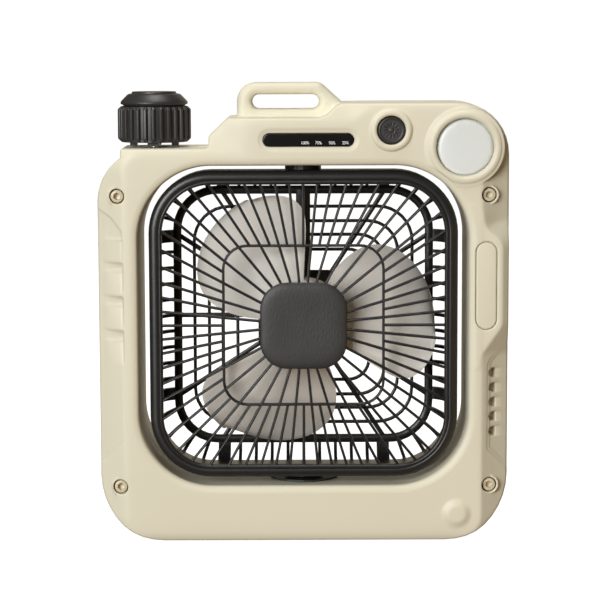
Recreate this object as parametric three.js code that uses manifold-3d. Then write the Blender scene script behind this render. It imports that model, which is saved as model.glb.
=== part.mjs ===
// Portable swivel fan in a square carrying frame.
// Units are millimetres. +Z is up, the front faces -Y, and the origin is at the bottom centre.

import * as THREE from 'three';
import { mergeVertices } from 'three/addons/utils/BufferGeometryUtils.js';
import Module from 'manifold-3d';

const wasm = await Module();
wasm.setup();

// ---------------------------------------------------------------- driving dimensions

const GAP = 0.3; // clearance between pieces that touch
const WALL = 2.4; // moulded wall thickness

// frame (front and rear shell)
const HALF_WIDTH = 112.5;
const FRONT_FACE = -28.4;
const RAISED_FACE = -30; // top of the rings and the boss on the front face
const REAR_FACE = 30;
const BASE = 0.6; // underside of the frame, lifted by its rubber feet
const BASE_RADIUS = 36;
const LEFT_RADIUS = 30; // upper left corner, behind the shoulder
const LEFT_CORNER_Z = 187;
const TOP = 241;
const TOP_RADIUS = 28.6;
const SHOULDER = { left: -99.4, right: -51.5, top: 217 };
const NECK = { left: -40.7, top: 233.5, footZ: 223.3 };
const TOP_STEP = { from: 8, to: 23 }; // where the neck's top edge sweeps up to TOP
const BEVEL = { width: 15.5, depth: 11 };
const BEVEL_ANGLE = Math.atan2(BEVEL.depth, BEVEL.width);

// opening through the frame
const OPENING = { halfWidth: 89.8, bottom: 31.9, top: 207.3, radius: 40 };

// carrying handle
const HANDLE = { left: -36.1, right: 21.5, top: 252, radius: 10.5, halfDepth: 9, foot: 226 };
const SLOT = { left: -27.6, right: 8.8, bottom: 237.7, top: 245.2 };

// fittings on the front
const LAMP = { x: 87.4, z: 217, lens: 15.3, ring: 20.2, step: 21.5 };
const BUTTON = { x: 47.6, z: 226.3, radius: 7.4, ring: 11.4, travel: 1 };
const WINDOW = { x: 3, z: 221.2, halfLength: 24.4, halfHeight: 3.4 };
const TRIM = { x: 99.2, z: 141.9, halfLength: 23.7, halfWidth: 5.5 };
const CONE = { x: 83.6, z: 16.3, base: 7.8, top: 4.6 };
const SCREWS = [
  { name: 'case_screw_top_left', x: -100.8, z: 191 },
  { name: 'case_screw_top_right', x: 100.7, z: 191.2 },
  { name: 'case_screw_bottom_left', x: -100.6, z: 31.3 },
  { name: 'case_screw_bottom_right', x: 101.5, z: 31.8 },
];
const SCREW = { head: 3.5, shank: 2, seat: 4.1, column: 5.2, headFront: -25, headRear: -21 };
const VENT = { centres: [93.7, 85.5, 77.4, 69.4, 61.3], height: 5.2, inner: 100.9 };
const GRIPS = [[154.9, 168.1], [136.5, 150.7], [117.9, 132.1], [56, 112.6]];
const GRIP_RECESS = { bottom: 47, top: 178.4, depth: 1.3 };

// fan head
const HEAD_Z = 120.2;
const HEAD = { half: 84.5, radius: 34, lip: 77.3, front: -26.5, bezelRear: -11.9 };
const SPOKE = { count: 64, width: 1.4, front: -25.6, rear: -23.2 };
const SQUARE_RING = { half: 43.6, radius: 13, width: 1.6 };
const CENTRE_CAP = { half: 23.7, radius: 14.8 };
const BASKET = { half: 83.6, radius: 33, wall: 3, front: -11.6, rear: 9 };
const REAR_RINGS = [37.2, 45.6, 53.3, 61.5];
const REAR_RING = { width: 1.8, front: 22.6, rear: 24.4 };
const THICK_RING = { half: 71, width: 4.6, front: 21.6, rear: 25 };
const REAR_BARS = [33, 57, 90, 123, 147, 180, 213, 237, 270, 303, 327]; // degrees from vertical
const REAR_PLATE = { half: 25.5, radius: 12 };
const CLIP = { width: 7, offset: 45 }; // wide tabs that carry the thick ring
const WHEEL = { radius: 73.5, hub: 24, root: 22.5, sweepFrom: 13.6, thickness: 1.5, front: -14, rear: 9 };

// knob
const KNOB = { x: -81.7, radius: 20.1, ribs: 28, ribDepth: 1.1, bottom: 219.4, top: 239 };

// ---------------------------------------------------------------- looks

const look = (color, roughness, metalness = 0) =>
  new THREE.MeshStandardMaterial({ color, roughness, metalness });

const LOOKS = {
  cream: look(0xe0d8bc, 0.55),
  black: look(0x1d1c1d, 0.5),
  smoked: look(0x151416, 0.12),
  lens: look(0xecebe6, 0.4),
  blade: look(0xcfc8c0, 0.35),
  steel: look(0xa8a49a, 0.3, 1),
  motor: look(0x8f9196, 0.35, 1),
  board: look(0x1f5a34, 0.5),
  rubber: look(0x262626, 0.9),
  cell: look(0x2b62a8, 0.45),
  reflector: look(0xf2f2ee, 0.25),
};

// ---------------------------------------------------------------- building helpers

// Turns a closed three.js geometry into a solid that can be joined and cut.
function solid(geometry) {
  const bare = geometry.index ? geometry.toNonIndexed() : geometry;
  bare.deleteAttribute('normal');
  bare.deleteAttribute('uv');
  const merged = mergeVertices(bare, 1e-4);
  const corners = merged.index.array;
  const triangles = [];
  for (let i = 0; i < corners.length; i += 3) {
    const [a, b, c] = corners.slice(i, i + 3);
    const isReal = a !== b && b !== c && c !== a;
    if (isReal) triangles.push(a, b, c);
  }
  return new wasm.Manifold(new wasm.Mesh({
    numProp: 3,
    vertProperties: Float32Array.from(merged.attributes.position.array),
    triVerts: Uint32Array.from(triangles),
  }));
}

const join = (parts) => parts.reduce((whole, part) => whole.add(part));
const cut = (body, tools) => tools.reduce((rest, tool) => rest.subtract(tool), body);

const group = new THREE.Group();

function addNode(name, body, material) {
  const { vertProperties, triVerts } = body.getMesh();
  const geometry = new THREE.BufferGeometry();
  geometry.setAttribute('position', new THREE.BufferAttribute(vertProperties, 3));
  geometry.setIndex(new THREE.BufferAttribute(triVerts, 1));
  geometry.computeVertexNormals();
  const mesh = new THREE.Mesh(geometry, material);
  mesh.name = name;
  group.add(mesh);
}

// A slab whose outline is drawn in X and Z, from one depth (y) to another.
function slab(shape, front, rear, curveSegments = 5) {
  const geometry = new THREE.ExtrudeGeometry(shape, {
    depth: rear - front, bevelEnabled: false, curveSegments,
  });
  geometry.rotateX(Math.PI / 2);
  geometry.translate(0, rear, 0);
  return solid(geometry);
}

// The same slab with its front and rear edges chamfered by `bevel`.
function softSlab(shape, front, rear, bevel, curveSegments = 5, bevelSegments = 1) {
  const geometry = new THREE.ExtrudeGeometry(shape, {
    depth: rear - front - 2 * bevel,
    bevelSize: bevel,
    bevelThickness: bevel,
    bevelOffset: -bevel,
    bevelSegments,
    curveSegments,
  });
  geometry.rotateX(Math.PI / 2);
  geometry.translate(0, rear - bevel, 0);
  return solid(geometry);
}

// A slab whose outline is drawn in X and Y, from one height to another.
function layer(shape, bottom, top, curveSegments = 5) {
  const geometry = new THREE.ExtrudeGeometry(shape, {
    depth: top - bottom, bevelEnabled: false, curveSegments,
  });
  geometry.translate(0, 0, bottom);
  return solid(geometry);
}

function box(x0, x1, y0, y1, z0, z1) {
  const geometry = new THREE.BoxGeometry(x1 - x0, y1 - y0, z1 - z0);
  geometry.translate((x0 + x1) / 2, (y0 + y1) / 2, (z0 + z1) / 2);
  return solid(geometry);
}

// Turned body about the front-to-back line through (x, z). Profile points are [radius, y].
function turnedAlongY(profile, x, z, segments = 28) {
  const points = profile.map(([radius, y]) => new THREE.Vector2(radius, y));
  const geometry = new THREE.LatheGeometry(points, segments);
  geometry.translate(x, 0, z);
  return solid(geometry);
}

// Turned body about the vertical line through (x, 0). Profile points are [radius, z].
function turnedAlongZ(profile, x, segments = 28) {
  const points = profile.map(([radius, z]) => new THREE.Vector2(radius, z));
  const geometry = new THREE.LatheGeometry(points, segments);
  geometry.rotateX(Math.PI / 2);
  geometry.translate(x, 0, 0);
  return solid(geometry);
}

const diskY = (radius, front, rear, x, z, segments) =>
  turnedAlongY([[0, front], [radius, front], [radius, rear], [0, rear]], x, z, segments);

const diskZ = (radius, bottom, top, x, segments) =>
  turnedAlongZ([[0, bottom], [radius, bottom], [radius, top], [0, top]], x, segments);

function polygon(points) {
  return new THREE.Shape(points.map(([x, z]) => new THREE.Vector2(x, z)));
}

function roundedRectangle(x0, x1, z0, z1, radius) {
  const shape = new THREE.Shape();
  shape.moveTo(x0 + radius, z0);
  shape.lineTo(x1 - radius, z0);
  shape.absarc(x1 - radius, z0 + radius, radius, -Math.PI / 2, 0);
  shape.lineTo(x1, z1 - radius);
  shape.absarc(x1 - radius, z1 - radius, radius, 0, Math.PI / 2);
  shape.lineTo(x0 + radius, z1);
  shape.absarc(x0 + radius, z1 - radius, radius, Math.PI / 2, Math.PI);
  shape.lineTo(x0, z0 + radius);
  shape.absarc(x0 + radius, z0 + radius, radius, Math.PI, Math.PI * 1.5);
  return shape;
}

// A square with round corners, centred on the fan head.
function headSquare(half, radius, holeHalf, holeRadius) {
  const shape = roundedRectangle(-half, half, HEAD_Z - half, HEAD_Z + half, radius);
  if (holeHalf) {
    shape.holes.push(
      roundedRectangle(-holeHalf, holeHalf, HEAD_Z - holeHalf, HEAD_Z + holeHalf, holeRadius));
  }
  return shape;
}

// A pill: a bar with fully round ends, long in X or in Z.
function pill(x, z, halfX, halfZ) {
  const shape = new THREE.Shape();
  const radius = Math.min(halfX, halfZ);
  const run = Math.abs(halfX - halfZ);
  const quarter = Math.PI / 2;
  if (halfX > halfZ) {
    shape.absarc(x + run, z, radius, -quarter, quarter);
    shape.absarc(x - run, z, radius, quarter, 3 * quarter);
  } else {
    shape.absarc(x, z + run, radius, 0, 2 * quarter);
    shape.absarc(x, z - run, radius, 2 * quarter, 4 * quarter);
  }
  return shape;
}

// ---------------------------------------------------------------- frame outlines

// Silhouette of the frame without its handle, moved inwards by `inset`.
function frameOutline(inset) {
  const side = HALF_WIDTH - inset;
  const bottom = BASE + inset;
  const top = TOP - inset;
  const shoulderLeft = SHOULDER.left + inset;
  const shoulderTop = SHOULDER.top - inset;
  const neckTop = NECK.top - inset;
  const leftRadius = LEFT_RADIUS - inset;
  const leftCornerX = -HALF_WIDTH + LEFT_RADIUS;
  const arcEnd = Math.acos((shoulderLeft - leftCornerX) / leftRadius);
  const shape = new THREE.Shape();
  shape.moveTo(-HALF_WIDTH + BASE_RADIUS, bottom);
  shape.lineTo(HALF_WIDTH - BASE_RADIUS, bottom);
  shape.absarc(HALF_WIDTH - BASE_RADIUS, BASE + BASE_RADIUS, BASE_RADIUS - inset, -Math.PI / 2, 0);
  shape.lineTo(side, TOP - TOP_RADIUS);
  shape.absarc(HALF_WIDTH - TOP_RADIUS, TOP - TOP_RADIUS, TOP_RADIUS - inset, 0, Math.PI / 2);
  shape.lineTo(TOP_STEP.to, top);
  shape.bezierCurveTo(TOP_STEP.to - 7, top, TOP_STEP.from + 6, neckTop, TOP_STEP.from, neckTop);
  shape.lineTo(NECK.left + inset / 2, neckTop);
  shape.lineTo(SHOULDER.right + inset, NECK.footZ - inset / 2);
  shape.lineTo(SHOULDER.right + inset, shoulderTop);
  shape.lineTo(shoulderLeft, shoulderTop);
  shape.lineTo(shoulderLeft, LEFT_CORNER_Z + leftRadius * Math.sin(arcEnd));
  shape.absarc(leftCornerX, LEFT_CORNER_Z, leftRadius, arcEnd, Math.PI);
  shape.lineTo(-side, BASE + BASE_RADIUS);
  shape.absarc(-HALF_WIDTH + BASE_RADIUS, BASE + BASE_RADIUS, BASE_RADIUS - inset, Math.PI, Math.PI * 1.5);
  return shape;
}

// The opening for the fan head, grown outwards by `grow`.
function openingOutline(grow) {
  const { halfWidth, bottom, top, radius } = OPENING;
  return roundedRectangle(
    -halfWidth - grow, halfWidth + grow, bottom - grow, top + grow, radius + grow);
}

function handleOutline() {
  const { left, right, top, radius, foot } = HANDLE;
  const shape = new THREE.Shape();
  shape.moveTo(left, foot);
  shape.lineTo(right, foot);
  shape.lineTo(right, TOP - 0.6);
  shape.lineTo(12, 249.6);
  shape.quadraticCurveTo(9.6, top, 6, top);
  shape.lineTo(left + radius, top);
  shape.absarc(left + radius, top - radius, radius, Math.PI / 2, Math.PI);
  shape.lineTo(left, foot);
  shape.holes.push(handleSlot());
  return shape;
}

function handleSlot() {
  return pill((SLOT.left + SLOT.right) / 2, (SLOT.bottom + SLOT.top) / 2,
    (SLOT.right - SLOT.left) / 2, (SLOT.top - SLOT.bottom) / 2);
}

// Cross-section block with both side bevels, moved inwards by `inset`, as tall as the frame.
function bevelledBlock(face, inset, bevel) {
  const side = HALF_WIDTH - inset;
  const inner = HALF_WIDTH - bevel.width - inset * Math.tan(Math.atan2(bevel.depth, bevel.width) / 2);
  const sign = Math.sign(face);
  const y = face - sign * inset;
  const edge = sign * (Math.abs(y) - bevel.depth * (side - inner) / bevel.width);
  const points = [[-side, -sign], [-side, edge], [-inner, y], [inner, y], [side, edge], [side, -sign]];
  const ordered = sign < 0 ? points : points.reverse();
  return layer(polygon(ordered), BASE - 1, TOP + 20);
}

// Places a body drawn flat on the left bevel: its x runs outwards along the slope, y is depth.
function onBevel(body, side) {
  const flipped = side < 0 ? body.mirror([1, 0, 0]) : body;
  const turn = side * THREE.MathUtils.radToDeg(BEVEL_ANGLE);
  return flipped.rotate([0, 0, turn]).translate([side * (HALF_WIDTH - BEVEL.width), FRONT_FACE, 0]);
}

// ---------------------------------------------------------------- shells

// The wide part of the front face beside the trim panel, which runs out over the bevel.
function trimShelf() {
  const edge = 107.9;
  const shape = new THREE.Shape();
  shape.moveTo(90, 92);
  shape.lineTo(96.4, 96);
  shape.lineTo(97.5, 104.5);
  shape.bezierCurveTo(102, 112, edge, 115, edge, 121);
  shape.lineTo(edge, 161);
  shape.bezierCurveTo(edge, 170, 97.5, 172, 97, 183);
  shape.lineTo(90, 183);
  return softSlab(shape, FRONT_FACE, FRONT_FACE + 13, 1.2);
}

function screwColumn({ x, z }, front, rear) {
  return diskY(SCREW.column, front, rear, x, z, 10);
}

function handleHalf(front, rear) {
  const whole = softSlab(handleOutline(), -HANDLE.halfDepth, HANDLE.halfDepth, 2.4, 3, 1);
  return whole.intersect(box(-60, 60, front, rear, 200, 260));
}

function frontShell() {
  const split = -GAP / 2;
  const outline = slab(frameOutline(0), RAISED_FACE, split);
  const outer = outline.intersect(bevelledBlock(FRONT_FACE, 0, BEVEL));
  const shelf = trimShelf();
  const raised = [
    turnedAlongY([[0, -17], [LAMP.step, -17], [LAMP.step, FRONT_FACE - 0.3], [LAMP.ring, RAISED_FACE],
      [0, RAISED_FACE]].reverse(), LAMP.x, LAMP.z, 28),
    turnedAlongY([[0, -26], [BUTTON.ring + 0.8, -26], [BUTTON.ring + 0.8, FRONT_FACE],
      [BUTTON.ring - 0.6, RAISED_FACE], [0, RAISED_FACE]].reverse(), BUTTON.x, BUTTON.z, 24),
    turnedAlongY([[0, -26], [CONE.base, -26], [CONE.base, FRONT_FACE], [CONE.top, RAISED_FACE],
      [0, RAISED_FACE]].reverse(), CONE.x, CONE.z, 20),
  ];
  const block = join([outer, shelf, ...raised]).intersect(outline);

  const cavity = slab(frameOutline(WALL), FRONT_FACE + WALL, 1, 3)
    .intersect(bevelledBlock(FRONT_FACE, WALL, BEVEL))
    .subtract(slab(openingOutline(WALL), -40, 10));
  const grips = cut(gripRecess(), GRIPS.map(([low, high]) => box(-1, 20, -8, 8, low, high)));
  const vents = VENT.centres.map((z) => {
    const start = (VENT.inner - HALF_WIDTH + BEVEL.width) / Math.cos(BEVEL_ANGLE);
    return onBevel(slab(pill(start + 14, z, 14, VENT.height / 2), -4, WALL + 0.8, 3), 1);
  });
  const columns = SCREWS.map((screw) => screwColumn(screw, -24, split));
  const hollow = block.subtract(cavity);
  const shell = join([hollow, ...columns.map((column) => column.intersect(outer))]);

  const seats = SCREWS.map(({ x, z }) => {
    const seatDepth = SCREW.headRear + GAP;
    const bore = SCREW.shank + GAP;
    return turnedAlongY([[0, -35], [SCREW.seat, -35], [SCREW.seat, seatDepth], [bore, seatDepth],
      [bore, 1], [0, 1]], x, z, 14);
  });
  const holes = [
    slab(openingOutline(0), -40, 10),
    slab(pill(WINDOW.x, WINDOW.z, WINDOW.halfLength + GAP, WINDOW.halfHeight + GAP), -40, -20),
    slab(pill(TRIM.x, TRIM.z, TRIM.halfWidth + GAP, TRIM.halfLength + GAP), -40, FRONT_FACE + 2),
    diskY(LAMP.lens + GAP, -40, -15, LAMP.x, LAMP.z, 28),
    diskY(LAMP.lens + 2.2, FRONT_FACE + WALL, -8, LAMP.x, LAMP.z, 20),
    diskY(BUTTON.radius + GAP, -40, -15, BUTTON.x, BUTTON.z, 24),
    onBevel(grips, -1),
    diskZ(6.3, 20, 220, 0, 24),
    diskZ(3.6, 212, 220, KNOB.x, 20),
    ...vents,
    ...footPlaces(-1).map(footPocket),
  ];
  const body = cut(shell, [...seats, ...holes]);
  return join([body, handleHalf(-HANDLE.halfDepth, split)]).subtract(slab(handleSlot(), -20, 20));
}

// A sunk band down the left bevel, drawn flat; the grip pads are left standing in it.
function gripRecess() {
  const length = BEVEL.width / Math.cos(BEVEL_ANGLE);
  const outline = polygon([
    [1, GRIP_RECESS.bottom + 8], [length + 4, GRIP_RECESS.bottom - 8],
    [length + 4, GRIP_RECESS.top + 6], [1, GRIP_RECESS.top - 5],
  ]);
  return slab(outline, -5, GRIP_RECESS.depth);
}

const REAR_BEVEL = { width: 7, depth: 6 };

function rearShell() {
  const split = GAP / 2;
  const outer = slab(frameOutline(0), split, REAR_FACE)
    .intersect(bevelledBlock(REAR_FACE, 0, REAR_BEVEL));
  const cavity = slab(frameOutline(WALL), -1, REAR_FACE - WALL, 3)
    .intersect(bevelledBlock(REAR_FACE, WALL, REAR_BEVEL))
    .subtract(slab(openingOutline(WALL), -10, 40));
  const columns = SCREWS.map((screw) => screwColumn(screw, split, REAR_FACE - 1));
  const shell = join([outer.subtract(cavity), ...columns]);
  const holes = [
    slab(openingOutline(0), -10, 40),
    diskZ(6.3, 20, 220, 0, 24),
    diskZ(3.6, 212, 220, KNOB.x, 20),
    slab(pill(USB.x, USB.z, 1.9 + GAP, 4.8 + GAP), 20, 40, 3),
    ...SCREWS.map(({ x, z }) => diskY(SCREW.shank + GAP, -1, 12, x, z, 10)),
    ...footPlaces(1).map(footPocket),
  ];
  return join([cut(shell, holes), handleHalf(split, HANDLE.halfDepth)])
    .subtract(slab(handleSlot(), -20, 20));
}

// ---------------------------------------------------------------- small frame fittings

const FOOT = { halfLength: 10, halfWidth: 5, top: 1.4, x: 58, y: 15 };

function footPlaces(side) {
  return [[-FOOT.x, side * FOOT.y], [FOOT.x, side * FOOT.y]];
}

function footPocket([x, y]) {
  return layer(roundedRectangle(x - FOOT.halfLength - GAP, x + FOOT.halfLength + GAP,
    y - FOOT.halfWidth - GAP, y + FOOT.halfWidth + GAP, 3), -1, FOOT.top + GAP, 1);
}

function foot([x, y]) {
  return layer(roundedRectangle(x - FOOT.halfLength, x + FOOT.halfLength,
    y - FOOT.halfWidth, y + FOOT.halfWidth, 2.7), 0, FOOT.top, 1);
}

function caseScrew({ x, z }) {
  const { headFront, headRear } = SCREW;
  const body = turnedAlongY([[0, headFront], [SCREW.head - 0.4, headFront],
    [SCREW.head, headFront + 0.4], [SCREW.head, headRear], [SCREW.shank, headRear],
    [SCREW.shank, 11], [0, 11]], x, z, 12);
  const socket = diskY(1.9, headFront - 1, headFront + 2, x, z, 6);
  return body.subtract(socket);
}

function levelWindow() {
  const { x, z, halfLength, halfHeight } = WINDOW;
  const inner = FRONT_FACE + WALL + GAP;
  return join([
    slab(pill(x, z, halfLength, halfHeight), FRONT_FACE + 0.5, inner + 0.6),
    slab(pill(x, z, halfLength + 2, halfHeight + 1.6), inner, inner + 1.2),
  ]);
}

const BOARD = { front: -18, rear: -16.4 };

function controlBoard() {
  const board = box(-26, 60, BOARD.front, BOARD.rear, 212, 229.5);
  const lights = [0, 1, 2, 3].map((i) => {
    const x = -14 + i * 8;
    return box(x - 1.6, x + 1.6, BOARD.front - 1, BOARD.front + 0.4, WINDOW.z - 1, WINDOW.z + 1);
  });
  return join([board, ...lights]);
}

function tactSwitch() {
  const front = BOARD.front - GAP - 1.8;
  const body = box(BUTTON.x - 3, BUTTON.x + 3, front, BOARD.front - GAP, BUTTON.z - 3, BUTTON.z + 3);
  return body.add(diskY(1.7, front - 0.5, front + 0.5, BUTTON.x, BUTTON.z, 16));
}

function lightButton() {
  const inner = FRONT_FACE + WALL + GAP;
  const stemEnd = BOARD.front - GAP - 1.8 - 0.5 - GAP - BUTTON.travel;
  return turnedAlongY([[0, -29.4], [BUTTON.radius - 1, -29.4], [BUTTON.radius, -28.6],
    [BUTTON.radius, inner], [BUTTON.radius + 1.6, inner], [BUTTON.radius + 1.6, inner + 1.1],
    [2, inner + 1.1], [2, stemEnd], [0, stemEnd]], BUTTON.x, BUTTON.z, 24);
}

function lampLens() {
  const inner = FRONT_FACE + WALL + GAP;
  return turnedAlongY([[0, -29.1], [LAMP.lens * 0.5, -28.95], [LAMP.lens * 0.85, -28.7],
    [LAMP.lens, -27.8], [LAMP.lens, inner], [LAMP.lens + 1.8, inner], [LAMP.lens + 1.8, inner + 1.3],
    [0, inner + 1.3]], LAMP.x, LAMP.z, 28);
}

function lampReflector() {
  const rim = LAMP.lens + 1.8;
  return turnedAlongY([[rim, -24], [rim - 1.2, -24], [9, -14.6], [9, -13.4], [10.4, -13.4],
    [rim, -22.4], [rim, -24]].reverse(), LAMP.x, LAMP.z, 20);
}

function lampBoard() {
  return turnedAlongY([[0, -14], [4, -14], [4, -13], [12, -13], [12, -11.4], [0, -11.4]],
    LAMP.x, LAMP.z, 16);
}

function trimPanel() {
  return softSlab(pill(TRIM.x, TRIM.z, TRIM.halfWidth, TRIM.halfLength),
    FRONT_FACE, FRONT_FACE + 2 - GAP, 0.4, 4);
}

// ---------------------------------------------------------------- power and electronics

const CELL = { radius: 9.2, length: 65, start: 14, y: 10, z: 15.4 };
const USB = { x: 98.6, z: 80 };

function batteryCell(sideX, sideY) {
  const geometry = new THREE.CylinderGeometry(CELL.radius, CELL.radius, CELL.length, 20);
  geometry.rotateZ(Math.PI / 2);
  geometry.translate(sideX * (CELL.start + CELL.length / 2), sideY * CELL.y, CELL.z);
  return solid(geometry);
}

function mainBoard() {
  const board = box(94.4, 96, -18, 20, 45, 118);
  const chips = [box(95.8, 98, -8, 0, 60, 70), box(95.8, 97.6, 4, 12, 98, 108), box(95.8, 99, -12, -4, 80, 90)];
  return join([board, ...chips]);
}

function chargingSocket() {
  const shellBody = slab(pill(USB.x, USB.z, 1.9, 4.8), 18, 29.6, 3);
  const mouth = slab(pill(USB.x, USB.z, 1.5, 4.4), 19, 31, 3);
  const tongue = box(USB.x - 0.35, USB.x + 0.35, 18.5, 28.4, USB.z - 3.3, USB.z + 3.3);
  return shellBody.subtract(mouth).add(tongue);
}

// ---------------------------------------------------------------- knob

function ribbedKnob() {
  const { x, radius, ribs, ribDepth, bottom, top } = KNOB;
  const columns = 4; // two on each crest, two in each valley
  const points = [[0, bottom], [radius - 2, bottom], [radius, bottom + 2], [radius, top - 1.8],
    [radius - 1.6, top], [0, top]].map(([r, z]) => new THREE.Vector2(r, z));
  const geometry = new THREE.LatheGeometry(points, ribs * columns);
  const position = geometry.attributes.position;
  for (let i = 0; i < position.count; i += 1) {
    const column = Math.floor(i / points.length) % columns;
    const r = Math.hypot(position.getX(i), position.getZ(i));
    const isValley = column >= 2 && r > radius - 1;
    const factor = isValley ? (r - ribDepth) / r : 1;
    position.setX(i, position.getX(i) * factor);
    position.setZ(i, position.getZ(i) * factor);
  }
  geometry.rotateX(Math.PI / 2);
  geometry.translate(x, 0, 0);
  const legs = [0, 1, 2, 3].map((i) => box(9.5, 13.3, -3, 3, SHOULDER.top + GAP, bottom + 1)
    .rotate([0, 0, 45 + 90 * i]).translate([x, 0, 0]));
  return join([solid(geometry), ...legs]).subtract(diskZ(3.3, 200, 229, x, 20));
}

function knobCap() {
  const foot = KNOB.top + GAP;
  return turnedAlongZ([[0, foot], [17.4, foot], [17.4, foot + 0.4], [18.4, foot + 0.6], [18.4, 241],
    [14.2, 245.6], [12.4, 245.9], [11.9, 247], [0, 247]], KNOB.x, 30);
}

function potentiometer() {
  const body = diskZ(8, 204.4, 211.8, KNOB.x, 24);
  const bush = diskZ(4.6, 211, SHOULDER.top - WALL - GAP, KNOB.x, 20);
  return body.add(bush).subtract(diskZ(3.3, 206, 230, KNOB.x, 20));
}

// ---------------------------------------------------------------- fan head

const OPENING_FLOOR = OPENING.bottom;
const OPENING_CEILING = OPENING.top;

// A flat bar that leaves the head's centre at `degrees` from vertical, clockwise from the front.
function radialBar(degrees, width, from, to, front, rear) {
  return box(-width / 2, width / 2, front, rear, from, to)
    .rotate([0, degrees, 0]).translate([0, 0, HEAD_Z]);
}

function frontGrille() {
  const lipRadius = HEAD.radius - (HEAD.half - HEAD.lip);
  const bezel = softSlab(headSquare(HEAD.half, HEAD.radius, HEAD.lip, lipRadius),
    HEAD.front, HEAD.bezelRear, 1.6, 5, 1);
  const reach = slab(headSquare(HEAD.lip + 2, lipRadius + 2), -40, 0);
  const inside = slab(headSquare(SQUARE_RING.half, SQUARE_RING.radius), -40, 0, 3);
  const step = 360 / SPOKE.count;
  const long = [];
  const short = [];
  for (let i = 0; i < SPOKE.count; i += 1) {
    const isLong = i % 2 === 1;
    const from = isLong ? 15 : SQUARE_RING.half - 2;
    const bar = radialBar(i * step, SPOKE.width, from, 112, SPOKE.front, SPOKE.rear);
    (isLong ? long : short).push(bar);
  }
  const spokes = join([...long, join(short).subtract(inside)]).intersect(reach);
  const half = SQUARE_RING.half + SQUARE_RING.width / 2;
  const ring = slab(headSquare(half, SQUARE_RING.radius + SQUARE_RING.width / 2,
    half - SQUARE_RING.width, SQUARE_RING.radius - SQUARE_RING.width / 2), SPOKE.front, SPOKE.rear, 3);
  const hub = slab(headSquare(CENTRE_CAP.half - 1.2, CENTRE_CAP.radius - 1.2), SPOKE.front, SPOKE.rear, 2);
  return join([bezel, spokes, ring, hub]);
}

function centreCap() {
  const rear = SPOKE.front - GAP;
  const shape = headSquare(CENTRE_CAP.half, CENTRE_CAP.radius);
  const geometry = new THREE.ExtrudeGeometry(shape, {
    depth: 0.6, bevelSize: 3, bevelThickness: 1.6, bevelOffset: -3, bevelSegments: 2, curveSegments: 3,
  });
  geometry.rotateX(Math.PI / 2);
  geometry.translate(0, rear - 0.2, 0);
  return solid(geometry).intersect(box(-60, 60, -40, rear, 0, 250));
}

// A square ring of the basket, `half` from the centre to the middle of its bar.
function basketRing(half, width, front, rear, segments) {
  const radius = half * 0.32;
  return slab(headSquare(half + width / 2, radius + width / 2, half - width / 2, radius - width / 2),
    front, rear, segments);
}

function rearGrille() {
  const band = slab(headSquare(BASKET.half, BASKET.radius, BASKET.half - BASKET.wall,
    BASKET.radius - BASKET.wall), BASKET.front, BASKET.rear);
  const thick = basketRing(THICK_RING.half, THICK_RING.width, THICK_RING.front, THICK_RING.rear, 3);
  const rings = REAR_RINGS.map((half) =>
    basketRing(half, REAR_RING.width, REAR_RING.front, REAR_RING.rear, 2));
  const limit = slab(headSquare(THICK_RING.half + 1, THICK_RING.half * 0.32 + 1), 0, 40);
  const bars = REAR_BARS.map((degrees) => radialBar(degrees, 2.6, 10, 100, REAR_RING.front, REAR_RING.rear));
  const duct = radialBar(0, 8, 10, 100, THICK_RING.front, THICK_RING.rear);
  const plate = slab(headSquare(REAR_PLATE.half, REAR_PLATE.radius), THICK_RING.front, REAR_RING.rear, 4);
  const grid = join([...bars, duct]).intersect(limit);
  return join([band, thick, ...rings, grid, plate, ...sideRibs()]);
}

// Slanted ribs that join the thick rear ring to the band, all round the head.
function sideRibs() {
  const inner = THICK_RING.half;
  const outer = BASKET.half - BASKET.wall / 2;
  const pitch = 22;
  const straight = [-1.5, -0.5, 0.5, 1.5].map((i) => i * pitch);
  const drawn = polygon([
    [THICK_RING.front + 0.6, inner], [BASKET.rear - 2, outer - 1.2],
    [BASKET.rear - 2, outer + 1.2], [THICK_RING.rear - 0.8, inner + 2.1],
  ]);
  const rib = (width) => {
    const geometry = new THREE.ExtrudeGeometry(drawn, { depth: width, bevelEnabled: false });
    geometry.translate(0, 0, -width / 2);
    const toWorld = new THREE.Matrix4().makeBasis(
      new THREE.Vector3(0, 1, 0), new THREE.Vector3(0, 0, 1), new THREE.Vector3(1, 0, 0));
    geometry.applyMatrix4(toWorld);
    return solid(geometry);
  };
  const ribs = [];
  for (let sideTurn = 0; sideTurn < 360; sideTurn += 90) {
    for (const offset of straight) {
      ribs.push(rib(1.8).translate([offset, 0, 0]).rotate([0, sideTurn, 0]).translate([0, 0, HEAD_Z]));
    }
    for (const offset of [-CLIP.offset, CLIP.offset]) {
      ribs.push(rib(CLIP.width).translate([offset, 0, 0]).rotate([0, sideTurn, 0]).translate([0, 0, HEAD_Z]));
    }
    ribs.push(...cornerRibs(rib, sideTurn));
  }
  return ribs;
}

// Ribs in the round corner: they fan out about the corner's centre.
function cornerRibs(rib, sideTurn) {
  const centre = BASKET.half - BASKET.radius;
  const shift = BASKET.half - BASKET.radius;
  return [22, 68].map((degrees) => rib(1.8)
    .translate([0, 0, -shift])
    .rotate([0, degrees, 0])
    .translate([centre, 0, centre])
    .rotate([0, sideTurn, 0])
    .translate([0, 0, HEAD_Z]));
}

function topPivot() {
  const top = OPENING_CEILING + WALL;
  const foot = HEAD_Z + BASKET.half + GAP;
  return turnedAlongZ([[3, foot], [10, foot], [10, OPENING_CEILING - GAP], [6, OPENING_CEILING - GAP],
    [6, top + GAP], [9, top + GAP], [9, top + 2.2], [3, top + 2.2], [3, foot]], 0, 24);
}

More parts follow.
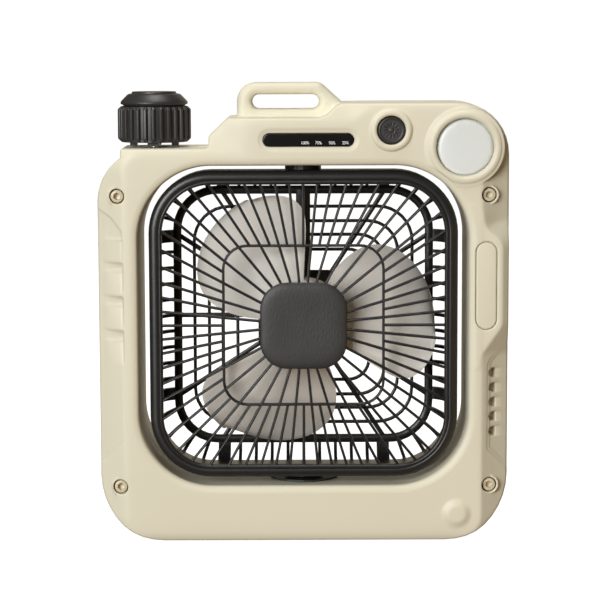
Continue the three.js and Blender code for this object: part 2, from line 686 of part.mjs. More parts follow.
function bottomPivot() {
  const floor = OPENING_FLOOR - WALL;
  const head = HEAD_Z - BASKET.half - GAP;
  return turnedAlongZ([[0, floor - 2.2], [9, floor - 2.2], [9, floor - GAP], [6, floor - GAP],
    [6, OPENING_FLOOR + 1.6], [10.5, OPENING_FLOOR + 1.6], [10.5, head], [0, head]], 0, 24);
}

function swivelWasher() {
  return turnedAlongZ([[6.3, OPENING_FLOOR + GAP], [18.8, OPENING_FLOOR + GAP],
    [18.8, OPENING_FLOOR + 1.3], [6.3, OPENING_FLOOR + 1.3], [6.3, OPENING_FLOOR + GAP]], 0, 24);
}

// ---------------------------------------------------------------- fan wheel

// Angle of the blade's two edges at a radius, in degrees from its straight edge, and its depth.
function bladePoint(along, across, side) {
  const { radius, root, sweepFrom, thickness, front, rear } = WHEEL;
  const r = root + (radius - root) * Math.sin(along * Math.PI / 2);
  const share = (r - sweepFrom) / (radius - sweepFrom);
  const tip = Math.sqrt(Math.max(0, 1 - share ** 8));
  const lateEdge = 24 + (90 - 22 * share ** 2 - 24) * tip;
  const earlyEdge = 24 * (1 - tip) - 3 * share * tip;
  const degrees = earlyEdge + (lateEdge - earlyEdge) * across;
  const pitch = 0.5 - 0.5 * Math.cos(Math.PI * across);
  const depth = front + (rear - front) * (0.35 * across + 0.65 * pitch) * (0.6 + 0.4 * share);
  const angle = THREE.MathUtils.degToRad(90 + degrees);
  return [r * Math.cos(angle), depth + side * thickness, r * Math.sin(angle)];
}

function blade(turn) {
  const geometry = new THREE.BoxGeometry(1, 1, 1, 8, 1, 6);
  const position = geometry.attributes.position;
  for (let i = 0; i < position.count; i += 1) {
    const along = position.getX(i) + 0.5;
    const across = position.getZ(i) + 0.5;
    const side = position.getY(i);
    position.setXYZ(i, ...bladePoint(along * 0.985, across, side));
  }
  geometry.rotateY(THREE.MathUtils.degToRad(turn));
  geometry.translate(0, 0, HEAD_Z);
  return solid(geometry);
}

function fanWheel() {
  const hub = diskY(WHEEL.hub, -16, 2, 0, HEAD_Z, 24);
  const blades = [0, 120, 240].map(blade);
  return join([hub, ...blades]).subtract(diskY(1.9, -20, 10, 0, HEAD_Z, 16));
}

function motorCan() {
  const body = turnedAlongY([[0, 2.6], [6, 2.6], [6, 4.4], [14.5, 4.4], [14.5, THICK_RING.front - GAP],
    [0, THICK_RING.front - GAP]], 0, HEAD_Z, 28);
  return body.subtract(diskY(1.9, 0, 15, 0, HEAD_Z, 16));
}

function wheelNut() {
  return diskY(4, -19.2, -16.3, 0, HEAD_Z, 6).subtract(diskY(1.9, -25, -10, 0, HEAD_Z, 16));
}

// ---------------------------------------------------------------- assembly

addNode('front_shell', frontShell(), LOOKS.cream);
addNode('rear_shell', rearShell(), LOOKS.cream);
addNode('side_trim_panel', trimPanel(), LOOKS.cream);
SCREWS.forEach((screw) => addNode(screw.name, caseScrew(screw), LOOKS.cream));
addNode('level_window', levelWindow(), LOOKS.smoked);
addNode('control_board', controlBoard(), LOOKS.board);
addNode('tact_switch', tactSwitch(), LOOKS.steel);
addNode('light_button', lightButton(), LOOKS.black);
addNode('lamp_lens', lampLens(), LOOKS.lens);
addNode('lamp_reflector', lampReflector(), LOOKS.reflector);
addNode('lamp_board', lampBoard(), LOOKS.board);
addNode('main_board', mainBoard(), LOOKS.board);
addNode('charging_socket', chargingSocket(), LOOKS.steel);
addNode('battery_cell_left_front', batteryCell(-1, -1), LOOKS.cell);
addNode('battery_cell_left_rear', batteryCell(-1, 1), LOOKS.cell);
addNode('battery_cell_right_front', batteryCell(1, -1), LOOKS.cell);
addNode('battery_cell_right_rear', batteryCell(1, 1), LOOKS.cell);
addNode('foot_left_front', foot(footPlaces(-1)[0]), LOOKS.rubber);
addNode('foot_right_front', foot(footPlaces(-1)[1]), LOOKS.rubber);
addNode('foot_left_rear', foot(footPlaces(1)[0]), LOOKS.rubber);
addNode('foot_right_rear', foot(footPlaces(1)[1]), LOOKS.rubber);
addNode('swivel_washer', swivelWasher(), LOOKS.black);
addNode('speed_potentiometer', potentiometer(), LOOKS.steel);

addNode('speed_knob', ribbedKnob(), LOOKS.black);
addNode('knob_cap', knobCap(), LOOKS.black);
addNode('knob_shaft', diskZ(3, 207, 228, KNOB.x, 20), LOOKS.steel);

addNode('front_grille', frontGrille(), LOOKS.black);
addNode('grille_cap', centreCap(), LOOKS.black);
addNode('rear_grille', rearGrille(), LOOKS.black);
addNode('top_pivot', topPivot(), LOOKS.black);
addNode('bottom_pivot', bottomPivot(), LOOKS.black);
addNode('motor_can', motorCan(), LOOKS.motor);

addNode('fan_wheel', fanWheel(), LOOKS.blade);
addNode('motor_shaft', diskY(1.6, -18.4, 14.4, 0, HEAD_Z, 16), LOOKS.steel);
addNode('wheel_nut', wheelNut(), LOOKS.steel);

export default group;
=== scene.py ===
# Portable swivel fan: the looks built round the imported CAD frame.
# Shapes are written in millimetres in the CAD frame and scaled to metres as they are made.
import math

import bmesh
import bpy
import numpy as np
import openvdb
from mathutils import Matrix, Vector


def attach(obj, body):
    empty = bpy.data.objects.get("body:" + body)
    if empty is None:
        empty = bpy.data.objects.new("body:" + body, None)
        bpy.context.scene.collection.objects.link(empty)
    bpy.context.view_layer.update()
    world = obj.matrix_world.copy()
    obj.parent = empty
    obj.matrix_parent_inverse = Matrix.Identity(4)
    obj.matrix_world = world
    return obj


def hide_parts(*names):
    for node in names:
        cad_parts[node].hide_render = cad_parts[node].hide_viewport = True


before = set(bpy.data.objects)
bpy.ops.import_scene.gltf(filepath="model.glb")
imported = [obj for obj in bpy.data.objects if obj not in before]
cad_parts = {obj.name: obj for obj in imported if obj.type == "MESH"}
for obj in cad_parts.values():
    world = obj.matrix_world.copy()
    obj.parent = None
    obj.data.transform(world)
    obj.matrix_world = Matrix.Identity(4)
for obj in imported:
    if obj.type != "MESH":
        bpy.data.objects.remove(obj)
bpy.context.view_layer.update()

MM = 0.001
FACE_LIMIT = 190000  # faces that one piece may have

# ------------------------------------------------------------------ sizes, in millimetres

HALF_WIDTH = 112.5
FRONT = -28.4
RAISED = -30.0
REAR = 30.0
BASE = 0.6
WALL = 2.4
SPLIT = 0.05  # half the parting gap between the two shells
REAR_STEP = 0.2  # how much smaller the rear shell is all round
FRONT_SLOPE = 0.71  # depth gained per millimetre outwards on the front bevel
SHELF_SLOPE = 0.85  # the same on the shelf beside the trim
NECK_SLOPE = 0.27  # the same on the left end of the neck
# cosines of the sloped faces, which turn a depth over the face into a distance from it
FRONT_COSINE = 0.815
SHELF_COSINE = 0.65
CONE_COSINE = 0.447
REAR_COSINE = 0.707
JOIN = 0.8  # fillet where the handle, the shelf or the lamp's foot meets the shell

OPENING = {"half": 89.8, "bottom": 31.9, "top": 207.3, "radius": 40.0}
SLOT = {"x0": -27.6, "x1": 8.8, "z0": 237.7, "z1": 245.2, "radius": 3.7}
LAMP = {"x": 87.4, "z": 217.0, "lens": 15.3, "ring": 20.2, "step": 21.5}
BUTTON = {"x": 47.6, "z": 226.3, "radius": 7.4, "ring": 11.4}
WINDOW = {"x": 3.0, "z": 221.2, "half_x": 24.4, "half_z": 3.4}
TRIM = {"x": 99.2, "z": 141.9, "half_x": 5.5, "half_z": 23.7}
CONE = {"x": 83.6, "z": 16.3, "base": 7.8, "slope": 2, "over_face": 0.8}
SCREWS = {
    "top_left": (-100.8, 191.0), "top_right": (100.7, 191.2),
    "bottom_left": (-100.6, 31.3), "bottom_right": (101.5, 31.8),
}
SCREW_HOLE = {"seat": 5.4, "pocket": 4.15, "head": 3.4, "shank": 2.3}  # radii
SCREW_DEPTH = {"head": 20.7, "gap": 17.0, "column": 24, "thread": 12}  # distances from the parting plane
VENT_CENTRES = (93.7, 85.5, 77.4, 69.4, 61.3)
VENT = {"left": 101.2, "right": 130, "half_z": 2.6, "radius": 2.55}
VENT_FLOOR = ((103.8, 105.0, 108.2), (7.0, 0.8, 0.0))  # x, and depth under the bevel there
GRIP_PADS = ((154.9, 168.1), (136.5, 150.7), (117.9, 132.1), (41.4, 112.6))  # from z to z, top pad first
GRIP = {
    "left": -109.6, "right": -90, "radius": 2.6, "between": 0.75, "outer_edge": 0.5,
    "cove": 3.6, "cove_depth": 2.0, "step": 1.6, "step_depth": 0.6, "back_end": 13, "back": 12,
}
USB = {"x": 98.6, "z": 80.0, "half_x": 2.1, "half_z": 5.0}
PIVOT_HOLE = 6.4
SHAFT_HOLE = 3.8
FEET = {"left_front": (-58, -15), "right_front": (58, -15), "left_rear": (-58, 15), "right_rear": (58, 15)}
FOOT = {"half_x": 10, "half_y": 5, "radius": 3, "play": 0.3, "seat": 1.7}

HEAD_Z = 120.2
HEAD_HALF = 84.2
HEAD_RADIUS = 34.0
SPOKES = 64
KNOB_X = -81.7

# ------------------------------------------------------------------ outlines


def rounded_path(corners, steps=9):
    """Outline through (x, z, radius) corners, each corner replaced by an arc of its radius."""
    path = []
    for i, (x, z, radius) in enumerate(corners):
        here = np.array((x, z), float)
        if radius == 0:
            path.append(here)
            continue
        back = np.array(corners[i - 1][:2]) - here
        ahead = np.array(corners[(i + 1) % len(corners)][:2]) - here
        back = back / np.linalg.norm(back)
        ahead = ahead / np.linalg.norm(ahead)
        half = math.acos(max(-1.0, min(1.0, float(back @ ahead)))) / 2
        middle = back + ahead
        centre = here + middle / np.linalg.norm(middle) * radius / math.sin(half)
        start = here + back * radius / math.tan(half) - centre
        end = here + ahead * radius / math.tan(half) - centre
        turn = math.pi - 2 * half
        for k in range(steps + 1):
            t = k / steps
            mixed = math.sin((1 - t) * turn) * start + math.sin(t * turn) * end
            path.append(centre + mixed / math.sin(turn))
    return np.array(path)


def arc(x, z, radius, start, end, count):
    """Corners without radius along an arc, angles in degrees."""
    return [
        (x + radius * math.cos(math.radians(a)), z + radius * math.sin(math.radians(a)), 0)
        for a in np.linspace(start, end, count)
    ]


SILHOUETTE = rounded_path([
    (-HALF_WIDTH, BASE, 36), (HALF_WIDTH, BASE, 36), (HALF_WIDTH, 241.3, 28.6),
    (19.3, 241.3, 9), (11.5, 233.5, 9), (-40.7, 233.5, 3), (-51.5, 223.3, 2.5), (-51.5, 217, 1.6),
    (-99.4, 217, 1.6), *arc(-82.5, 187, 30, 124.3, 180, 12),
])
FACE = rounded_path([
    (-98, 3.7, 11), (97, 3.7, 11), (97, 239.7, 17), (24, 239.7, 17), (24, 214.8, 0), (-98, 214.8, 11),
])
NECK_FACE = rounded_path([
    (-49.8, 100, 0), (30, 100, 0), (30, 231.8, 0), (-40.2, 231.8, 3), (-49.8, 222.8, 2.5),
])
HANDLE_OUTLINE = rounded_path([
    (-36.1, 226, 0), (23.3, 226, 0), (23.3, 239.5, 3), (9.6, 252, 6), (-36.1, 252, 10.5),
])
TRIM_SHELF = rounded_path([
    (90, 96, 0), (96.0, 96, 3), (96.4, 103.5, 8), (107.9, 120.0, 9), (107.9, 165.5, 9),
    (98.5, 173.5, 9), (97, 186, 6), (90, 186, 0),
])
VENT_PANEL = rounded_path([
    (120, 121.5, 0), (101.5, 101.2, 2), (100.1, 98.6, 2), (100.1, 52.0, 2), (120, 31.5, 0),
])
GRIP_BAND = rounded_path([
    (-120, 188.5, 0), (-112.5, 184.5, 3), (-104.5, 179.4, 8), (-98.5, 172, 4),
    (-97.6, 57.5, 2), (-120, 34.5, 0),
])


def square_points(half, radius, steps=9):
    """A square with round corners about the head's centre, as (x, z) points."""
    return rounded_path([
        (-half, HEAD_Z - half, radius), (half, HEAD_Z - half, radius),
        (half, HEAD_Z + half, radius), (-half, HEAD_Z + half, radius),
    ], steps)


def pill_points(x, z, half_x, half_z, inset=0.0, steps=12):
    """A bar with fully round ends, long in z or in x."""
    half_x, half_z = half_x - inset, half_z - inset
    radius = min(half_x, half_z) * 0.9999
    return rounded_path([
        (x - half_x, z - half_z, radius), (x + half_x, z - half_z, radius),
        (x + half_x, z + half_z, radius), (x - half_x, z + half_z, radius),
    ], steps)


# ------------------------------------------------------------------ distance fields


def soft_max(a, b, width):
    """The larger of two fields, with the edge between them rounded over `width`."""
    overlap = np.maximum(width - np.abs(a - b), 0) / width
    return np.maximum(a, b) + overlap * overlap * (width / 4)


def soft_min(a, b, width):
    return -soft_max(-a, -b, width)


def rounded_box(u, v, u0, u1, v0, v1, radius):
    """Distance to a rectangle with round corners, negative inside."""
    du = np.abs(u - (u0 + u1) / 2) - (u1 - u0) / 2 + radius
    dv = np.abs(v - (v0 + v1) / 2) - (v1 - v0) / 2 + radius
    outside = np.hypot(np.maximum(du, 0), np.maximum(dv, 0))
    return outside + np.minimum(np.maximum(du, dv), 0) - radius


def pill_field(u, v, part, grow=0.0):
    half_x, half_z = part["half_x"] + grow, part["half_z"] + grow
    x, z = part["x"], part["z"]
    return rounded_box(u, v, x - half_x, x + half_x, z - half_z, z + half_z, min(half_x, half_z))


def polygon_field(u, v, points):
    """Distance to a closed outline, negative inside."""
    shape = np.broadcast(u, v).shape
    nearest = np.full(shape, 1e9, np.float32)
    inside = np.zeros(shape, bool)
    for (ax, az), (bx, bz) in zip(points, np.roll(points, -1, axis=0)):
        ex, ez = bx - ax, bz - az
        if ex * ex + ez * ez < 1e-12:
            continue
        along = np.clip(((u - ax) * ex + (v - az) * ez) / (ex * ex + ez * ez), 0, 1)
        nearest = np.minimum(nearest, (u - ax - ex * along) ** 2 + (v - az - ez * along) ** 2)
        if ez != 0:
            inside ^= ((az > v) != (bz > v)) & (u < ex * (v - az) / ez + ax)
    return np.where(inside, -1, 1) * np.sqrt(nearest)


def fade(distance, width):
    """1 inside an outline, 0 outside it, and a smooth ramp of `width` across it."""
    t = np.clip(0.5 - distance / width, 0, 1)
    return t * t * (3 - 2 * t)


class Block:
    """A box of space sampled every `step` mm; a field over it is negative inside the shape."""

    def __init__(self, low, high, step):
        self.low, self.step = np.array(low, float), step
        axes = [np.arange(a, b + step, step, dtype=np.float32) for a, b in zip(low, high)]
        self.x = axes[0][:, None, None]
        self.y = axes[1][None, :, None]
        self.z = axes[2][None, None, :]

    def skin(self, field):
        """Points and quads of the surface where the field is zero."""
        reach = 3 * self.step
        volume = openvdb.FloatGrid(background=reach)
        volume.copyFromArray(np.clip(field, -reach, reach).astype(np.float32))
        points, quads = volume.convertToQuads(isovalue=0.0)
        return points * self.step + self.low, quads


# ------------------------------------------------------------------ mesh helpers


class Parts:
    """Points and faces gathered from several solids."""

    def __init__(self):
        self.points, self.faces = [], []

    def add(self, solid):
        points, faces = solid
        start = len(self.points)
        self.points.extend(tuple(map(float, p)) for p in points)
        self.faces.extend(tuple(start + i for i in face) for face in faces)


def loft(rings, loop=False):
    """Skin over rings of equally many points. The ends get caps, or the last ring joins the first."""
    count, size = len(rings), len(rings[0])
    faces = []
    for r in range(count if loop else count - 1):
        a, b = r * size, (r + 1) % count * size
        faces += [(a + i, a + (i + 1) % size, b + (i + 1) % size, b + i) for i in range(size)]
    if not loop:
        faces.append(tuple(range(size))[::-1])
        faces.append(tuple((count - 1) * size + i for i in range(size)))
    return np.concatenate(rings), faces


def at_depth(outline, y):
    """(x, z) points as points in space at depth y."""
    return np.column_stack([outline[:, 0], np.full(len(outline), float(y)), outline[:, 1]])


def turned_y(profile, x, z, count=64):
    """A body turned about the line through (x, z) that runs front to back; profile is (radius, y)."""
    a = np.linspace(0, 2 * math.pi, count, endpoint=False)
    return loft([
        np.column_stack([x + r * np.cos(a), np.full(count, float(y)), z + r * np.sin(a)])
        for r, y in profile
    ])


def turned_z(profile, x, count=96, ribs=0, rib_depth=0.0, rib_from=0.0):
    """A body turned about the vertical line through (x, 0); profile is (radius, z)."""
    a = np.linspace(0, 2 * math.pi, count, endpoint=False)
    wave = 0.5 - 0.5 * np.cos(ribs * (a + math.pi / 2) - 0.8)
    valley = np.clip((wave - 0.18) / 0.55, 0, 1)
    valley = valley * valley * (3 - 2 * valley)
    rings = []
    for r, z in profile:
        radius = r - np.minimum(rib_depth * valley, max(0.0, r - rib_from))
        rings.append(np.column_stack([x + radius * np.cos(a), radius * np.sin(a), np.full(count, float(z))]))
    return loft(rings)


def square_ring(half, radius, section, steps=9):
    """A bar that runs round a square with round corners; section is (outward offset, y)."""
    return loft([at_depth(square_points(half + o, radius + o, steps), y) for o, y in section], loop=True)


def spoke_reach(degrees, half, radius):
    """How far from the head's centre a line at `degrees` from vertical meets a rounded square."""
    sine, cosine = math.sin(math.radians(degrees)), math.cos(math.radians(degrees))
    near, far = 0.0, 2 * half
    for _ in range(30):
        middle = (near + far) / 2
        if rounded_box(middle * sine, middle * cosine, -half, half, -half, half, radius) < 0:
            near = middle
        else:
            far = middle
    return near


def radial_bar(degrees, start, end, section):
    """A straight bar out from the head's centre; section is (sideways offset, y)."""
    sine, cosine = math.sin(math.radians(degrees)), math.cos(math.radians(degrees))
    rings = []
    for r in (start, end):
        rings.append(np.array([
            (r * sine + s * cosine, y, HEAD_Z + r * cosine - s * sine) for s, y in section
        ]))
    return loft(rings)


def make_piece(name, solid, finish, body, replaces=(), sharp=35, recalc=True):
    """A mesh in metres that rides on a CAD body and takes the named finish."""
    points, faces = (solid.points, solid.faces) if isinstance(solid, Parts) else solid
    mesh = bpy.data.meshes.new(name)
    mesh.from_pydata(np.asarray(points, float) * MM, [], faces)
    if recalc:
        work = bmesh.new()
        work.from_mesh(mesh)
        bmesh.ops.remove_doubles(work, verts=work.verts, dist=1e-7)
        bmesh.ops.recalc_face_normals(work, faces=work.faces)
        work.to_mesh(mesh)
        work.free()
    mesh.polygons.foreach_set("use_smooth", [True] * len(mesh.polygons))
    mesh.set_sharp_from_angle(angle=math.radians(sharp))
    mesh.materials.append(finish)
    piece = bpy.data.objects.new(name, mesh)
    bpy.context.scene.collection.objects.link(piece)
    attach(piece, body)
    if replaces:
        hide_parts(*replaces)
    return piece


def field_piece(name, block, field, finish, body, replaces, limit=FACE_LIMIT):
    """A piece skinned from a distance field, thinned to at most `limit` faces."""
    points, quads = block.skin(field)
    corners = points[quads[:, :3]]
    volume = np.einsum("ij,ij->i", corners[:, 0], np.cross(corners[:, 1], corners[:, 2])).sum()
    if volume < 0:
        quads = quads[:, ::-1]
    piece = make_piece(name, (points, quads), finish, body, replaces, sharp=50, recalc=False)
    if 2 * len(quads) > limit:
        thin = piece.modifiers.new("thin", "DECIMATE")
        thin.ratio = limit / (2 * len(quads))
        shown = piece.evaluated_get(bpy.context.evaluated_depsgraph_get())
        mesh = bpy.data.meshes.new_from_object(shown)
        piece.modifiers.clear()
        piece.data = mesh
    return piece


# ------------------------------------------------------------------ finishes


def finish(name, colour, roughness, metallic=0.0, coat=0.0, grain=1500.0, bump=0.1, mottle=0.04,
           patch=25.0, specular=0.5, translucent=0.0, subsurface=0.0, vary=0.05, stretch=(1, 1, 1),
           grain_depth=0.00006):
    """A plastic or metal with patchy colour, uneven gloss and fine grain, all procedural."""
    made = bpy.data.materials.new(name)
    made.use_nodes = True
    tree = made.node_tree
    shader = next(n for n in tree.nodes if n.type == "BSDF_PRINCIPLED")
    output = next(n for n in tree.nodes if n.type == "OUTPUT_MATERIAL")
    place = tree.nodes.new("ShaderNodeTexCoord")
    scaled = tree.nodes.new("ShaderNodeMapping")
    scaled.inputs["Scale"].default_value = stretch
    tree.links.new(place.outputs["Object"], scaled.inputs["Vector"])

    def cloud(scale, detail):
        node = tree.nodes.new("ShaderNodeTexNoise")
        node.inputs["Scale"].default_value = scale
        node.inputs["Detail"].default_value = detail
        tree.links.new(scaled.outputs["Vector"], node.inputs["Vector"])
        return node

    patches = cloud(patch, 3)
    ramp = tree.nodes.new("ShaderNodeValToRGB")
    for stop, factor in zip(ramp.color_ramp.elements, (1 - mottle, 1 + mottle)):
        stop.color = [min(1.0, c * factor) for c in colour] + [1]
    ramp.color_ramp.elements[0].position = 0.3
    ramp.color_ramp.elements[1].position = 0.7
    tree.links.new(patches.outputs["Fac"], ramp.inputs["Fac"])
    tree.links.new(ramp.outputs["Color"], shader.inputs["Base Color"])

    gloss = cloud(patch * 9, 4)
    spread = tree.nodes.new("ShaderNodeMapRange")
    spread.inputs["To Min"].default_value = max(0.02, roughness - vary)
    spread.inputs["To Max"].default_value = min(1.0, roughness + vary)
    tree.links.new(gloss.outputs["Fac"], spread.inputs["Value"])
    tree.links.new(spread.outputs["Result"], shader.inputs["Roughness"])

    pores = cloud(grain, 2)
    relief = tree.nodes.new("ShaderNodeBump")
    relief.inputs["Strength"].default_value = bump
    relief.inputs["Distance"].default_value = grain_depth
    tree.links.new(pores.outputs["Fac"], relief.inputs["Height"])
    tree.links.new(relief.outputs["Normal"], shader.inputs["Normal"])

    shader.inputs["Metallic"].default_value = metallic
    shader.inputs["Coat Weight"].default_value = coat
    shader.inputs["Coat Roughness"].default_value = 0.15
    shader.inputs["Specular IOR Level"].default_value = specular
    if subsurface:
        shader.inputs["Subsurface Weight"].default_value = subsurface
        shader.inputs["Subsurface Radius"].default_value = (1.0, 0.9, 0.8)
        shader.inputs["Subsurface Scale"].default_value = 0.002
    if translucent:
        through = tree.nodes.new("ShaderNodeBsdfTranslucent")
        mix = tree.nodes.new("ShaderNodeMixShader")
        mix.inputs["Fac"].default_value = translucent
        tree.links.new(ramp.outputs["Color"], through.inputs["Color"])
        tree.links.new(shader.outputs["BSDF"], mix.inputs[1])
        tree.links.new(through.outputs["BSDF"], mix.inputs[2])
        tree.links.new(mix.outputs["Shader"], output.inputs["Surface"])
    return made


CREAM = finish("cream", (0.76, 0.717, 0.56), 0.46, grain=1800, bump=0.18, mottle=0.012, patch=12,
               specular=0.35)
CREAM_SCREW = finish("screw_coat", (0.66, 0.58, 0.41), 0.38, grain=3000, bump=0.05, mottle=0.03, coat=0.1)
BLACK = finish("black", (0.022, 0.021, 0.021), 0.42, grain=2200, bump=0.3, mottle=0.12, patch=60)
GRILLE = finish("grille", (0.016, 0.0155, 0.0155), 0.34, grain=2600, bump=0.2, mottle=0.12, patch=80)
KNOB = finish("knob", (0.030, 0.0288, 0.028), 0.42, grain=2000, bump=0.35, mottle=0.15, patch=90)
LEATHER = finish("cap_grain", (0.035, 0.034, 0.034), 0.5, grain=900, bump=0.8, mottle=0.1, patch=80,
                 stretch=(1.0, 1.0, 0.45), grain_depth=0.00015)
SMOKED = finish("smoked", (0.008, 0.007, 0.008), 0.16, grain=600, bump=0.02, mottle=0.1, vary=0.03)
LENS = finish("lens", (0.81, 0.84, 0.83), 0.35, grain=1500, bump=0.1, mottle=0.01, subsurface=0.6)
BLADE = finish("blade", (0.99, 0.955, 0.90), 0.3, grain=500, bump=0.03, mottle=0.01, translucent=0.25)
RUBBER = finish("rubber", (0.018, 0.018, 0.018), 0.85, grain=2500, bump=0.4, mottle=0.2)
STEEL = finish("steel", (0.6, 0.6, 0.6), 0.3, metallic=1.0, grain=2500, bump=0.1, mottle=0.06)
CAN = finish("motor_can", (0.42, 0.43, 0.45), 0.34, metallic=1.0, bump=0.15, mottle=0.08, stretch=(1, 12, 1))
BOARD = finish("board", (0.02, 0.11, 0.04), 0.3, grain=900, bump=0.2, mottle=0.2, patch=200, coat=0.3)
CELL = finish("cell", (0.02, 0.12, 0.42), 0.3, grain=700, bump=0.1, mottle=0.06, coat=0.3)
WHITE = finish("reflector", (0.85, 0.85, 0.84), 0.22, grain=900, bump=0.05, mottle=0.01, coat=0.3)
MARK = finish("mark", (0.95, 0.95, 0.95), 0.5, grain=1500, bump=0.05, mottle=0.01)

# ------------------------------------------------------------------ shells


def softened(distance, width):
    """A ramp that leaves zero gently instead of at a crease."""
    return 0.5 * (distance + np.sqrt(distance * distance + width * width))


def filleted(a, b):
    """The smaller of two depths below a face, with the valley between them filled to a fillet."""
    return a + b - np.hypot(a, b)


def handle_field(block):
    half_depth = 9
    handle = soft_max(polygon_field(block.x, block.z, HANDLE_OUTLINE), np.abs(block.y) - half_depth, 5.0)
    slot = rounded_box(block.x, block.z, SLOT["x0"], SLOT["x1"], SLOT["z0"], SLOT["z1"], SLOT["radius"])
    return soft_max(handle, -slot, 4.0), slot


def disc(block, x, z, radius):
    return np.hypot(block.x - x, block.z - z) - radius


def opening_field(block):
    half, bottom, top = OPENING["half"], OPENING["bottom"], OPENING["top"]
    return rounded_box(block.x, block.z, -half, half, bottom, top, OPENING["radius"])


def with_holes(shell, block):
    """The shell with holes for the pivots and the knob's shaft, and with seats for the feet."""
    x, y, z = block.x, block.y, block.z
    away = 100  # lifts a hole's field above zero where the hole must not cut
    shell = np.maximum(shell, -(np.hypot(x, y) - PIVOT_HOLE + away * (z > 215)))
    shell = np.maximum(shell, -(np.hypot(x - KNOB_X, y) - SHAFT_HOLE + away * (z < 200)))
    half_x, half_y = FOOT["half_x"] + FOOT["play"], FOOT["half_y"] + FOOT["play"]
    for fx, fy in FEET.values():
        foot = rounded_box(x, y, fx - half_x, fx + half_x, fy - half_y, fy + half_y, FOOT["radius"])
        shell = np.maximum(shell, -np.maximum(foot, z - FOOT["seat"]))
    return shell


def with_handle(shell, inner, block, smaller, behind):
    """The shell joined to its half of the handle, with nothing left where `behind` is positive."""
    handle, slot = handle_field(block)
    whole = soft_min(shell, np.maximum(handle + smaller, -inner), JOIN)
    whole = np.maximum(whole, -slot)
    return soft_max(whole, behind, 2 * SPLIT)


